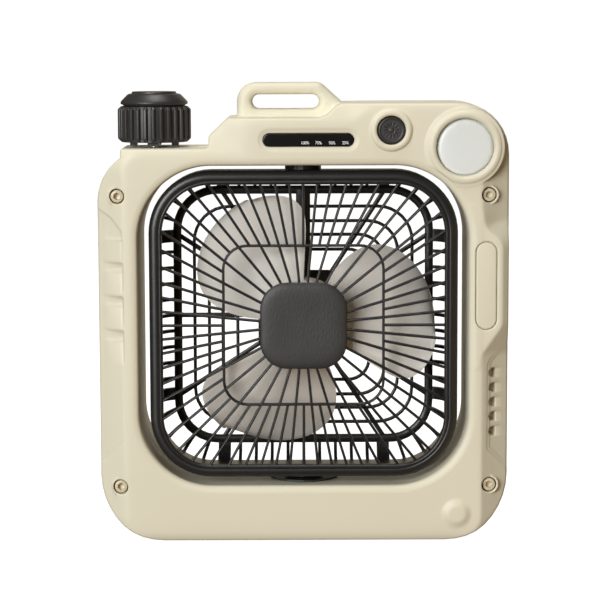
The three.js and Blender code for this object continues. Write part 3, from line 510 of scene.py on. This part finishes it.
def front_shell():
    block = Block((-114, -31.5, -0.5), (114, 0.5, 253.5), 0.5)
    x, y, z = block.x, block.y, block.z
    outline = polygon_field(x, z, SILHOUETTE)
    opening = opening_field(block)

    # depth of the front surface: a flat face, sloped down outside its own outline
    face = soft_min(polygon_field(x, z, FACE), rounded_box(x, z, -20, 60, 100, 231.8, 9), 3)
    crease = np.interp(x, (-95, -80, 80, 95), (1.8, 2.4, 2.4, 0.8)).astype(np.float32)
    depth = FRONT + FRONT_SLOPE * softened(face, crease)
    neck = FRONT_SLOPE * softened(polygon_field(x, z, NECK_FACE), 2.4) + NECK_SLOPE * softened(-31 - x, 4)
    depth = FRONT + filleted(depth - FRONT, neck)

    # grips: pads in a sunk band; under each pad a cove starts, and the next pad runs back out of it
    band = polygon_field(x, z, GRIP_BAND)
    pads = np.full_like(band, 1e3)
    for low, high in GRIP_PADS:
        pads = np.minimum(pads, rounded_box(x, z, GRIP["left"], GRIP["right"], low, high, GRIP["radius"]))
    pads = np.maximum(pads, band)
    depth += GRIP["between"] * fade(band, 0.7) * (1 - fade(pads, 1.8))
    depth += GRIP["outer_edge"] * np.clip((-103 - x) / 6, 0, 1) ** 2 * fade(pads, 1.0)
    scoop = np.clip((x + 107) / 9.3, 0, 1) ** 1.2 * fade(x + 97.9, 0.5)
    above = math.inf
    for low, high in GRIP_PADS:
        cove = np.clip((above - z) / GRIP["cove"], 0, 1)
        step = np.clip((high - z) / GRIP["step"], 0, 1)
        back = np.clip((z - high + GRIP["back_end"]) / GRIP["back"], 0, 1)
        cove_depth = 0 if above == math.inf else GRIP["cove_depth"]
        depth += (cove_depth * cove * (2 - cove) + GRIP["step_depth"] * step) * back * scoop
        above = low

    # creases round the vents, and a dip round the window
    vent_panel = polygon_field(x, z, VENT_PANEL)
    depth += 0.35 * fade(vent_panel, 0.6) + 0.35 * fade(vent_panel + 1.6, 0.6)
    depth += 0.45 * fade(pill_field(x, z, WINDOW, 2.3), 1.6)

    body = soft_max(outline, (depth - y) * FRONT_COSINE, 1.6)
    shelf = (polygon_field(x, z, TRIM_SHELF) - (y - FRONT) / SHELF_SLOPE) * SHELF_COSINE
    shelf = soft_max(shelf, FRONT - y, 0.7)
    body = soft_min(body, soft_max(shelf, outline + 0.7, 0.8), JOIN)
    body = soft_max(body, outline, 1.6)

    # raised rings, boss and screw seats
    foot = soft_max(disc(block, LAMP["x"], LAMP["z"], LAMP["step"]), FRONT - 0.25 - y, 1.0)
    body = soft_min(body, foot, JOIN)
    for part, rounding in ((LAMP, 3.0), (BUTTON, 2.2)):
        ring = soft_max(disc(block, part["x"], part["z"], part["ring"]), RAISED - y, rounding)
        body = soft_min(body, ring, 0.5)
    cone = disc(block, CONE["x"], CONE["z"], CONE["base"]) + CONE["slope"] * (FRONT - y)
    cone = np.maximum(cone * CONE_COSINE, y - (FRONT + CONE["over_face"]))
    body = soft_min(body, soft_max(cone, RAISED - y, 0.5), 0.5)
    for sx, sz in SCREWS.values():
        level = FRONT + FRONT_SLOPE * (abs(sx) - 96.4)
        seat = soft_max(disc(block, sx, sz, SCREW_HOLE["seat"]), level - y, 0.5)
        body = np.minimum(body, np.maximum(seat, outline + 0.3))

    # the mouth of the opening is rounded, and then runs straight back
    flare = np.interp(y, (-28.4, -28.1, -27.5, -26.5, -25.0), (3.4, 2.2, 1.0, 0.3, 0.0)).astype(np.float32)
    body = soft_max(body, -(opening - flare), 0.6)

    # hollow inside, with a column round each screw
    inner = np.maximum(np.maximum(outline + WALL, (depth + 2.9 - y) * FRONT_COSINE), WALL - opening)
    inner = np.maximum(inner, -rounded_box(x, z, 98, 114, 56, 99, 2))
    hollow = np.maximum(body, -inner)
    for sx, sz in SCREWS.values():
        behind_head = -SCREW_DEPTH["column"] - y
        column = np.maximum(disc(block, sx, sz, SCREW_HOLE["seat"]), np.maximum(body, behind_head))
        hollow = np.minimum(hollow, column)

    # holes and pockets
    def cut(shape, pocket, rounding=0.4):
        return soft_max(shape, -pocket, rounding)

    hollow = cut(hollow, disc(block, LAMP["x"], LAMP["z"], LAMP["lens"] + 0.2), 2.4)
    hollow = cut(hollow, disc(block, BUTTON["x"], BUTTON["z"], BUTTON["radius"] + 0.35), 1.4)
    hollow = cut(hollow, pill_field(x, z, WINDOW, 0.25), 0.7)
    hollow = cut(hollow, np.maximum(pill_field(x, z, TRIM, 0.35), y - (FRONT + 2)), 0.5)
    for sx, sz in SCREWS.values():
        under_head = disc(block, sx, sz, SCREW_HOLE["head"]) < 0
        floor = np.where(under_head, SCREW_DEPTH["head"], SCREW_DEPTH["gap"])
        hollow = cut(hollow, np.maximum(disc(block, sx, sz, SCREW_HOLE["pocket"]), y + floor), 0.3)
        hollow = np.maximum(hollow, -disc(block, sx, sz, SCREW_HOLE["shank"]))
    for vz in VENT_CENTRES:
        floor = depth + np.interp(x, *VENT_FLOOR).astype(np.float32)
        slit = rounded_box(x, z, VENT["left"], VENT["right"], vz - VENT["half_z"], vz + VENT["half_z"],
                           VENT["radius"])
        hollow = cut(hollow, soft_max(slit, y - floor, 0.6), 0.5)
    whole = with_handle(with_holes(hollow, block), inner, block, 0, y + SPLIT)
    field_piece("front_case", block, whole, CREAM, "frame_body", ["front_shell"])


def rear_shell():
    block = Block((-114, -0.5, -0.5), (114, 31, 253.5), 0.6)
    x, y, z = block.x, block.y, block.z
    outline = polygon_field(x, z, SILHOUETTE) + REAR_STEP
    opening = opening_field(block)
    face = rounded_box(x, z, -106, 106, 6.6, 211, 26)
    face = soft_min(face, rounded_box(x, z, -45.5, 106, 100, 228, 12), 3)
    face = soft_min(face, rounded_box(x, z, 20, 106, 100, 235, 22), 3)
    depth = REAR - softened(face, 2.5)
    body = soft_max(outline, (y - depth) * REAR_COSINE, 2.0)
    flare = np.interp(y, (26.0, 28.0, 29.2, 30.0), (0.0, 0.3, 1.2, 3.2)).astype(np.float32)
    body = soft_max(body, -(opening - flare), 0.6)
    inner = np.maximum(np.maximum(outline + WALL, (y - depth + 3.0) * REAR_COSINE), WALL - opening)
    hollow = np.maximum(body, -inner)
    for sx, sz in SCREWS.values():
        column = np.maximum(disc(block, sx, sz, SCREW_HOLE["seat"]), body)
        thread = np.maximum(disc(block, sx, sz, SCREW_HOLE["shank"]), y - SCREW_DEPTH["thread"])
        hollow = np.minimum(hollow, np.maximum(column, -thread))
    hollow = soft_max(hollow, -pill_field(x, z, USB), 0.8)
    whole = with_handle(with_holes(hollow, block), inner, block, REAR_STEP, SPLIT - y)
    field_piece("rear_case", block, whole, CREAM, "frame_body", ["rear_shell"])


front_shell()
rear_shell()

# ------------------------------------------------------------------ fittings of the frame


def plate(outline_at, levels):
    """A plate lofted through (inset, y) levels of an outline."""
    return loft([at_depth(outline_at(inset), y) for inset, y in levels])


make_piece(
    "side_trim", plate(
        lambda inset: pill_points(TRIM["x"], TRIM["z"], TRIM["half_x"], TRIM["half_z"], inset),
        ((0.1, FRONT + 1.8), (0.0, FRONT + 0.6), (0.12, FRONT + 0.3), (0.45, FRONT + 0.08), (1.0, FRONT))),
    CREAM, "frame_body", ["side_trim_panel"])

for label, (screw_x, screw_z) in SCREWS.items():
    turn = np.linspace(0, 2 * math.pi, 48, endpoint=False)
    hexagon = 1.7 / np.cos((turn + math.pi / 6) % (math.pi / 3) - math.pi / 6)
    rings = [
        (2.0 + 0 * turn, 11.0), (2.0 + 0 * turn, -21.0), (3.5 + 0 * turn, -21.0), (3.5 + 0 * turn, -24.3),
        (3.35 + 0 * turn, -24.8), (3.0 + 0 * turn, -25.0), (hexagon + 0.15, -25.0), (hexagon, -24.85),
        (hexagon, -22.6), (hexagon * 0.3, -22.3),
    ]
    screw = loft([
        np.column_stack([screw_x + r * np.cos(turn), np.full(48, y), screw_z + r * np.sin(turn)])
        for r, y in rings
    ])
    make_piece(f"screw_{label}", screw, CREAM_SCREW, "frame_body", [f"case_screw_{label}"])

make_piece(
    "window", plate(
        lambda inset: pill_points(WINDOW["x"], WINDOW["z"], WINDOW["half_x"], WINDOW["half_z"], inset),
        ((-1.2, -24.2), (-1.2, -25.4), (0.0, -25.5), (0.0, -27.75), (0.08, -27.85), (0.2, -27.9),
         (0.6, -27.9))),
    SMOKED, "frame_body", ["level_window"])


LEVEL_X = {"100%": 1.1, "75%": 8.3, "50%": 15.6, "25%": 22.8}
LEVEL_Z = 218.9
LEVEL_SIZE = 2.25
LEVEL_FACE = -27.93  # just proud of the window


def level_marks():
    """The four shares of charge, printed on the window."""
    marks = Parts()
    for body, x in LEVEL_X.items():
        words = bpy.data.curves.new("mark_text", "FONT")
        words.body = body
        words.size = LEVEL_SIZE
        words.align_x = "CENTER"
        words.space_character = 0.92
        words.extrude = 0.03
        words.offset = 0.005
        writer = bpy.data.objects.new("mark_text", words)
        bpy.context.scene.collection.objects.link(writer)
        shown = writer.evaluated_get(bpy.context.evaluated_depsgraph_get())
        mesh = bpy.data.meshes.new_from_object(shown)
        points = [(x + v.co.x, LEVEL_FACE - v.co.z, LEVEL_Z + v.co.y) for v in mesh.vertices]
        marks.add((points, [tuple(p.vertices) for p in mesh.polygons]))
        bpy.data.objects.remove(writer)
        bpy.data.curves.remove(words)
        bpy.data.meshes.remove(mesh)
    make_piece("level_marks", marks, MARK, "frame_body")


level_marks()

make_piece(
    "lens", turned_y(
        ((17.0, -24.4), (17.0, -25.0), (15.3, -25.0), (15.25, -25.4), (14.95, -26.1), (14.4, -26.7),
         (13.7, -27.1), (12.8, -27.3), (11.0, -27.42), (8.0, -27.54), (4.0, -27.62), (0.6, -27.64)),
        LAMP["x"], LAMP["z"], 96),
    LENS, "frame_body", ["lamp_lens"])


BUTTON_FACE = -29.1
BUTTON_RAYS = 12
BUTTON_SIDE = (
    (2.0, -20.0), (2.0, -24.4), (9.0, -24.5), (9.0, -25.5), (7.4, -25.6), (7.4, -28.3), (7.2, -28.9),
)


def button():
    """Button face with a raised rim and a lamp mark of sunk rays about a small raised bulb."""
    count = 144
    turn = np.linspace(0, 2 * math.pi, count, endpoint=False)
    rings = [(r, np.full(count, y)) for r, y in BUTTON_SIDE]
    for r in np.linspace(7.0, 0.25, 52):
        rim = -0.28 * math.exp(-((r - 6.4) / 0.4) ** 2)
        bulb = -0.30 * math.exp(-(r / 1.15) ** 4)
        ray_length = np.clip((r - 2.0) / 0.3, 0, 1) * np.clip((4.3 - r) / 0.3, 0, 1)
        from_ray = np.abs((turn * BUTTON_RAYS / (2 * math.pi) + 0.5) % 1 - 0.5)
        across = from_ray * 2 * math.pi / BUTTON_RAYS * r
        rays = 0.30 * np.exp(-(across / 0.22) ** 2) * ray_length
        halo = 0.16 * math.exp(-((r - 1.6) / 0.3) ** 2)
        rings.append((r, BUTTON_FACE + rim + bulb + halo + rays))
    solid = loft([
        np.column_stack([BUTTON["x"] + r * np.cos(turn), y, BUTTON["z"] + r * np.sin(turn)]) for r, y in rings
    ])
    make_piece("lamp_button", solid, KNOB, "light_button_body", ["light_button"])


button()

for label, (foot_x, foot_y) in FEET.items():
    pads = []
    left, right = foot_x - FOOT["half_x"], foot_x + FOOT["half_x"]
    front, rear = foot_y - FOOT["half_y"], foot_y + FOOT["half_y"]
    for inset, z in ((0.3, 1.4), (0.0, 1.2), (0.0, 0.35), (0.4, 0.0)):
        outline = rounded_path([
            (left + inset, front + inset, FOOT["radius"]), (right - inset, front + inset, FOOT["radius"]),
            (right - inset, rear - inset, FOOT["radius"]), (left + inset, rear - inset, FOOT["radius"]),
        ], 5)
        pads.append(np.column_stack([outline, np.full(len(outline), z)]))
    make_piece(f"pad_{label}", loft(pads), RUBBER, "frame_body", [f"foot_{label}"])

# ------------------------------------------------------------------ knob

knob_parts = Parts()
knob_parts.add(turned_z(
    ((3.3, 219.4), (17.9, 219.4), (18.2, 219.5), (18.7, 219.95), (19.3, 220.5), (19.8, 221.0), (20.05, 221.4),
     (20.1, 221.9), (20.1, 236.8), (20.0, 237.3), (19.6, 237.8), (19.0, 238.3), (18.4, 238.8), (18.0, 239.0),
     (3.3, 239.0)), KNOB_X, count=560, ribs=28, rib_depth=1.8, rib_from=18.2))
LEG_SECTION = ((9.5, -3), (13.3, -3), (13.3, 3), (9.5, 3))  # (out from the knob's axis, sideways)
for corner in range(4):
    angle = math.radians(90 * corner)
    leg = []
    for z in (217.3, 219.8):
        leg.append(np.array([
            (KNOB_X + r * math.cos(angle) - s * math.sin(angle), r * math.sin(angle) + s * math.cos(angle), z)
            for r, s in LEG_SECTION
        ]))
    knob_parts.add(loft(leg))
make_piece("ribbed_knob", knob_parts, KNOB, "knob_body", ["speed_knob"], sharp=45)

make_piece(
    "knob_top", turned_z(
        ((3.0, 239.3), (17.0, 239.3), (17.3, 239.8), (18.2, 240.0), (18.45, 240.4), (18.45, 241.1),
         (18.1, 241.8), (14.9, 245.1), (14.2, 245.6), (13.4, 245.8), (12.6, 245.8), (12.3, 246.0),
         (12.2, 246.6), (11.8, 246.95), (11.2, 247.0), (3.0, 247.0)), KNOB_X, 96),
    KNOB, "knob_body", ["knob_cap"])

# ------------------------------------------------------------------ fan head

BEZEL_SECTION = (
    (-3.6, -11.9), (-0.4, -11.9), (0.0, -12.3), (0.0, -21.5), (-0.35, -23.2), (-1.1, -24.4), (-2.2, -25.0),
    (-4.3, -25.3), (-4.75, -25.1), (-5.0, -25.35), (-5.4, -26.1), (-6.0, -26.5), (-6.6, -26.4),
    (-7.1, -25.9), (-7.35, -25.2), (-7.4, -23.4), (-7.0, -22.8), (-5.6, -22.6), (-3.6, -21.0),
)
SPOKE_SECTION = (
    (-0.75, -23.2), (-0.68, -25.0), (-0.5, -25.4), (-0.2, -25.6), (0.2, -25.6), (0.5, -25.4),
    (0.68, -25.0), (0.75, -23.2),
)

GUARD_RING = {"half": 43.6, "radius": 13}  # the square ring that half of the spokes start at
SPOKE_END = {"half": 78.6, "radius": 28.1}  # just inside the bezel


def front_grille():
    grille = Parts()
    grille.add(square_ring(HEAD_HALF, HEAD_RADIUS, BEZEL_SECTION, 14))
    grille.add(square_ring(GUARD_RING["half"], GUARD_RING["radius"], SPOKE_SECTION, 8))
    for i in range(SPOKES):
        degrees = i * 360 / SPOKES
        is_long = i % 2 == 1
        start = 19 if is_long else spoke_reach(degrees, GUARD_RING["half"] - 0.2, GUARD_RING["radius"])
        end = spoke_reach(degrees, SPOKE_END["half"], SPOKE_END["radius"])
        grille.add(radial_bar(degrees, start, end, SPOKE_SECTION))
    grille.add(plate(lambda inset: square_points(22.0 - inset, 13.3 - inset),
                     ((0, -23.2), (0, -25.5))))
    make_piece("front_guard", grille, GRILLE, "head_body", ["front_grille"], sharp=50)


def centre_cap():
    outline = square_points(23.7, 14.8, 12) - (0, HEAD_Z)
    rings = []
    for share, y in ((0.985, -25.7), (1.0, -25.95), (0.998, -26.3), (0.985, -26.65), (0.96, -26.98),
                     (0.93, -27.22), (0.89, -27.42), (0.84, -27.56), (0.78, -27.64), (0.7, -27.68),
                     (0.58, -27.68), (0.42, -27.62), (0.25, -27.56), (0.08, -27.54)):
        rings.append(at_depth(outline * share + (0, HEAD_Z), y))
    make_piece("guard_cap", loft(rings), LEATHER, "head_body", ["grille_cap"])


THICK_HALF, THICK_RADIUS = 71.0, 22.7
BAND_HALF, BAND_RADIUS = 82.1, 31.5
BAND_SECTION = (
    (-3.0, -11.6), (-0.3, -11.6), (0, -11.3), (0, 8.0), (-0.8, 9.0), (-2.4, 9.0), (-3.0, 8.4),
)
THICK_SECTION = (
    (-2.3, 24.2), (-2.3, 22.3), (-1.7, 21.6), (1.7, 21.6), (2.3, 22.3), (2.3, 24.2), (1.6, 25), (-1.6, 25),
)
REAR_SECTION = ((-0.9, 24.4), (-0.9, 22.9), (-0.5, 22.6), (0.5, 22.6), (0.9, 22.9), (0.9, 24.4))
WIDE_SECTION = ((-4, 24.6), (-4, 21.9), (-3.4, 21.4), (3.4, 21.4), (4, 21.9), (4, 24.6))
REAR_RINGS = (37.2, 45.6, 53.3, 61.5)
REAR_BARS = (33, 57, 90, 123, 147, 180, 213, 237, 270, 303, 327)  # degrees from the wide bar at the top
RIB = {"width": 1.8, "wide": 7.0, "pitch": 9.0}


def side_rib(outer, inner, tangent, width):
    """A rib that leaves the band straight back and curls inwards to the thick ring."""
    outer, inner, tangent = (np.array(p, float) for p in (outer, inner, tangent))
    outwards = (outer - inner) / np.linalg.norm(outer - inner)
    half_thick = 1.2
    rings = []
    for t in np.linspace(0, math.pi / 2, 8):
        place = outer + (inner - outer) * (1 - math.cos(t))
        depth = 6.0 + 17.6 * math.sin(t)
        normal = outwards * math.cos(t), math.sin(t)
        corners = []
        for across, lift in ((-1, -1), (1, -1), (1, 1), (-1, 1)):
            flat = place + tangent * across * width / 2 + normal[0] * lift * half_thick
            corners.append((flat[0], depth + normal[1] * lift * half_thick, HEAD_Z + flat[1]))
        rings.append(np.array(corners))
    return loft(rings)


def rear_grille():
    guard = Parts()
    guard.add(square_ring(83.6, 33, BAND_SECTION, 12))
    guard.add(square_ring(THICK_HALF, THICK_RADIUS, THICK_SECTION, 10))
    for half in REAR_RINGS:
        guard.add(square_ring(half, half * 0.32, REAR_SECTION, 8))
    bar = [(s * 1.4, y) for s, y in REAR_SECTION]
    for degrees in REAR_BARS:
        guard.add(radial_bar(degrees, 18, spoke_reach(degrees, THICK_HALF, THICK_RADIUS), bar))
    guard.add(radial_bar(0, 18, THICK_HALF, WIDE_SECTION))
    guard.add(plate(lambda inset: square_points(25.5 - inset, 12 - inset),
                    ((0.6, 21.6), (0, 22.2), (0, 23.8), (0.6, 24.4))))
    centre = BAND_HALF - BAND_RADIUS
    thick_centre = THICK_HALF - THICK_RADIUS
    for quarter in range(4):
        spin = math.radians(90 * quarter)
        across = np.array((math.cos(spin), -math.sin(spin)))
        out = np.array((math.sin(spin), math.cos(spin)))
        for offset in np.arange(-45, 46, RIB["pitch"]):
            width = RIB["wide"] if abs(offset) > 40 else RIB["width"]
            start, end = across * offset + out * BAND_HALF, across * offset + out * THICK_HALF
            guard.add(side_rib(start, end, across, width))
        for degrees in (12, 34, 56, 78):
            lean = math.radians(degrees)
            away = out * math.cos(lean) + across * math.sin(lean)
            beside = across * math.cos(lean) - out * math.sin(lean)
            start = (out + across) * centre + away * BAND_RADIUS
            end = (out + across) * thick_centre + away * THICK_RADIUS
            guard.add(side_rib(start, end, beside, RIB["width"]))
    make_piece("rear_guard", guard, GRILLE, "head_body", ["rear_grille"], sharp=50)


front_grille()
centre_cap()
rear_grille()

# ------------------------------------------------------------------ fan wheel

WHEEL = {"radius": 73.5, "root": 22.5, "share_from": 13.6, "thickness": 1.5, "front": -14.0, "rear": 9.0}
BLADE_START = 24  # degrees at which a blade's early and late edges meet at the tip


def blade_point(along, across, side):
    """A point on a blade at shares of its length and width; side is -0.5 at the front, 0.5 at the rear."""
    root, radius = WHEEL["root"], WHEEL["radius"]
    r = root + (radius - root) * math.sin(along * math.pi / 2)
    share = (r - WHEEL["share_from"]) / (radius - WHEEL["share_from"])
    tip = math.sqrt(max(0.0, 1 - share ** 8))
    late = BLADE_START + (90 - 22 * share ** 2 - BLADE_START) * tip
    early = BLADE_START * (1 - tip) - 3 * share * tip
    degrees = early + (late - early) * across
    pitch = 0.5 - 0.5 * math.cos(math.pi * across)
    swept = (WHEEL["rear"] - WHEEL["front"]) * (0.35 * across + 0.65 * pitch)
    depth = WHEEL["front"] + swept * (0.6 + 0.4 * share)
    angle = math.radians(90 + degrees)
    edge = min(1.0, 12 * across + 0.25, 12 * (1 - across) + 0.25, 12 * (1 - along) + 0.25)
    return r * math.cos(angle), depth + side * WHEEL["thickness"] * edge, r * math.sin(angle)


def fan_wheel():
    wheel = Parts()
    rows, columns = 34, 28
    for blade in range(3):
        spin = math.radians(120 * blade)
        rings = []
        for i in range(rows + 1):
            along = 0.985 * i / rows
            shares = np.linspace(0, 1, columns + 1)
            shares = 0.5 - 0.5 * np.cos(math.pi * shares)
            front = [blade_point(along, s, -0.5) for s in shares]
            rear = [blade_point(along, s, 0.5) for s in shares[::-1]]
            ring = np.array(front + rear)
            x = ring[:, 0] * math.cos(spin) + ring[:, 2] * math.sin(spin)
            z = -ring[:, 0] * math.sin(spin) + ring[:, 2] * math.cos(spin)
            rings.append(np.column_stack([x, ring[:, 1], HEAD_Z + z]))
        wheel.add(loft(rings))
    wheel.add(turned_y(((2, 2.0), (22.0, 2.0), (23.4, 1.4), (24.0, 0.0), (24.0, -13.6), (23.4, -15.2),
                        (22.0, -16.0), (6.0, -16.0), (2, -15.6)), 0, HEAD_Z, 96))
    make_piece("blade_wheel", wheel, BLADE, "wheel_body", ["fan_wheel"], sharp=50)


fan_wheel()

# ------------------------------------------------------------------ CAD nodes that stay

KEPT = {
    "control_board": BOARD, "tact_switch": STEEL, "lamp_reflector": WHITE, "lamp_board": BOARD,
    "main_board": BOARD, "charging_socket": STEEL, "battery_cell_left_front": CELL,
    "battery_cell_left_rear": CELL, "battery_cell_right_front": CELL, "battery_cell_right_rear": CELL,
    "swivel_washer": BLACK, "speed_potentiometer": STEEL, "knob_shaft": STEEL, "top_pivot": BLACK,
    "bottom_pivot": BLACK, "motor_can": CAN, "motor_shaft": STEEL, "wheel_nut": STEEL,
}
for node, look in KEPT.items():
    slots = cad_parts[node].data.materials
    slots.clear()
    slots.append(look)

# ------------------------------------------------------------------ stage, light and camera


def stage_floor():
    """A pale bowl that neither lights nor shades the fan: a flat floor that rises far away to a wall."""
    profile = [(0.01, 0), (0.5, 0), (1.5, 0), (3, 0), (5, 0)]
    profile += [(5 + 2 * math.sin(a), 2 - 2 * math.cos(a)) for a in np.linspace(0.2, math.pi / 2, 9)]
    profile += [(7, 3.5)]
    turn = np.linspace(0, 2 * math.pi, 96, endpoint=False)
    rings = [np.column_stack([r * np.cos(turn), r * np.sin(turn), np.full(96, float(z))]) for r, z in profile]
    points, faces = loft(rings)
    mesh = bpy.data.meshes.new("floor")
    mesh.from_pydata(points, [], faces[:-1])
    mesh.polygons.foreach_set("use_smooth", [True] * len(mesh.polygons))
    floor = bpy.data.objects.new("floor", mesh)
    bpy.context.scene.collection.objects.link(floor)
    for rays in ("diffuse", "glossy", "transmission", "shadow"):
        setattr(floor, "visible_" + rays, False)

    made = bpy.data.materials.new("backdrop")
    made.use_nodes = True
    tree = made.node_tree
    shader = next(n for n in tree.nodes if n.type == "BSDF_PRINCIPLED")
    shader.inputs["Base Color"].default_value = (0.35, 0.35, 0.35, 1)
    shader.inputs["Roughness"].default_value = 0.9
    shader.inputs["Specular IOR Level"].default_value = 0.0
    shader.inputs["Emission Color"].default_value = (1, 1, 1, 1)
    shader.inputs["Emission Strength"].default_value = 1.0
    mesh.materials.append(made)


stage_floor()


LIT_POINT = Vector((0, 0, 0.12))  # in metres, near the fan's middle


def area_light(name, azimuth, elevation, distance, size, power, colour=(1, 1, 1)):
    """A round soft light aimed at the fan; azimuth 0 is in front of it, and positive is to its right."""
    light = bpy.data.lights.new(name, "AREA")
    light.shape = "DISK"
    light.size = size
    light.energy = power
    light.color = colour
    lamp = bpy.data.objects.new(name, light)
    a, e = math.radians(azimuth), math.radians(elevation)
    out = Vector((math.sin(a) * math.cos(e), -math.cos(a) * math.cos(e), math.sin(e)))
    lamp.location = LIT_POINT + out * distance
    lamp.rotation_euler = (-out).to_track_quat("-Z", "Y").to_euler()
    lamp.visible_camera = False
    bpy.context.scene.collection.objects.link(lamp)


area_light("key", azimuth=-27, elevation=13, distance=4.0, size=2.2, power=146)
area_light("fill", azimuth=45, elevation=-25, distance=2.0, size=1.6, power=4, colour=(1.0, 0.60, 0.20))
area_light("rear", azimuth=165, elevation=6, distance=1.6, size=2.4, power=9, colour=(1.0, 0.88, 0.70))
area_light("top", azimuth=0, elevation=86, distance=2.0, size=1.0, power=20)

scene = bpy.context.scene
scene.world = bpy.data.worlds.new("studio")
scene.world.use_nodes = True
sky = scene.world.node_tree.nodes["Background"]
sky.inputs["Color"].default_value = (1.0, 0.85, 0.60, 1)
sky.inputs["Strength"].default_value = 0.07
scene.view_settings.view_transform = "Standard"

TARGET = Vector((-1.9, -28.4, 134.6)) * MM
DISTANCE = 1.18
VIEW_WIDTH = 0.3255  # what the picture's width covers at the target, in metres
ELEVATION = math.radians(6.7)
ROLL = math.radians(-0.2)
camera_data = bpy.data.cameras.new("camera")
camera_data.sensor_width = 36.0
camera_data.lens = camera_data.sensor_width * DISTANCE / VIEW_WIDTH
camera_data.clip_start = 0.05
camera_data.clip_end = 100
camera = bpy.data.objects.new("camera", camera_data)
back = Vector((0, -math.cos(ELEVATION), math.sin(ELEVATION)))
camera.location = TARGET + back * DISTANCE
turn_to = (-back).to_track_quat("-Z", "Y").to_matrix().to_4x4()
camera.rotation_euler = turn_to.to_euler()
camera.rotation_euler.rotate_axis("Z", ROLL)
scene.collection.objects.link(camera)
scene.camera = camera
